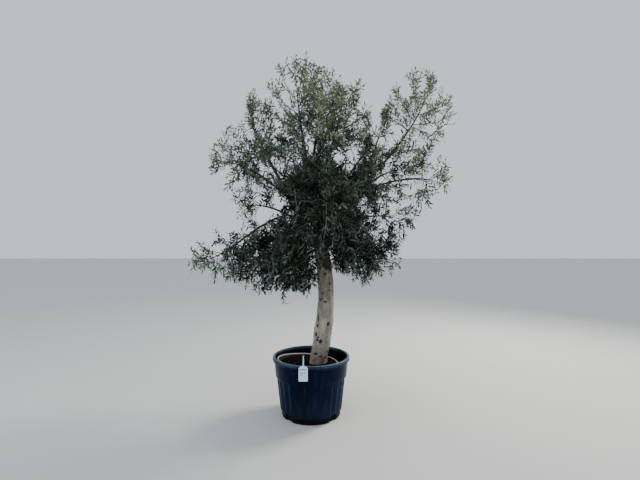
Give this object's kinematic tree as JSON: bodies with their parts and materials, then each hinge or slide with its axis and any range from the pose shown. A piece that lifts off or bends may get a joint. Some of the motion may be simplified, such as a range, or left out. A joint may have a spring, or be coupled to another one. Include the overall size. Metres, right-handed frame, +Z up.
{
  "type": "potted olive tree",
  "caption": "Standard olive tree with a clear, slightly bowed trunk and an open rounded crown, in a round black nursery pot with a rolled lip and a hang tag.",
  "frame": {"origin": "middle of the flat underside of the pot, on the floor", "axes": "+Z up along the pot's axis, +X to the right as the tree is seen in the picture, +Y away from the viewer"},
  "size_m": [2.3218, 1.7269, 3.2512],
  "materials": {
    "pot_plastic": "satin",
    "rim_plastic": "satin",
    "tag_plastic": "satin",
    "soil": "matte",
    "bark": "matte",
    "foliage": "matte"
  },
  "bodies": {
    "root": {"pot": "pot_plastic", "soil": "soil", "inner_rim": "rim_plastic", "tag": "tag_plastic", "trunk": "bark", "bough_top_left": "bark", "bough_top_right": "bark", "bough_top_front": "bark", "bough_top_back": "bark", "bough_left_shoulder": "bark", "bough_left": "bark", "bough_left_low": "bark", "bough_skirt_left_tip": "bark", "bough_skirt_left": "bark", "bough_front": "bark", "bough_skirt_front": "bark", "bough_front_left": "bark", "bough_front_right": "bark", "bough_right": "bark", "bough_skirt_right": "bark", "bough_right_low": "bark", "bough_right_spray": "bark", "bough_right_tip": "bark", "bough_right_shoulder": "bark", "bough_back": "bark", "bough_back_left": "bark", "bough_back_right": "bark", "bough_skirt_back_left": "bark", "bough_skirt_back_right": "bark", "bough_heart": "bark", "foliage_top_left": "foliage", "foliage_top_right": "foliage", "foliage_top_front": "foliage", "foliage_top_back": "foliage", "foliage_left_shoulder": "foliage", "foliage_left": "foliage", "foliage_left_low": "foliage", "foliage_skirt_left_tip": "foliage", "foliage_skirt_left": "foliage", "foliage_front": "foliage", "foliage_skirt_front": "foliage", "foliage_front_left": "foliage", "foliage_front_right": "foliage", "foliage_right": "foliage", "foliage_skirt_right": "foliage", "foliage_right_low": "foliage", "foliage_right_spray": "foliage", "foliage_right_tip": "foliage", "foliage_right_shoulder": "foliage", "foliage_back": "foliage", "foliage_back_left": "foliage", "foliage_back_right": "foliage", "foliage_skirt_back_left": "foliage", "foliage_skirt_back_right": "foliage", "foliage_heart": "foliage"}
  },
  "joints": []
}
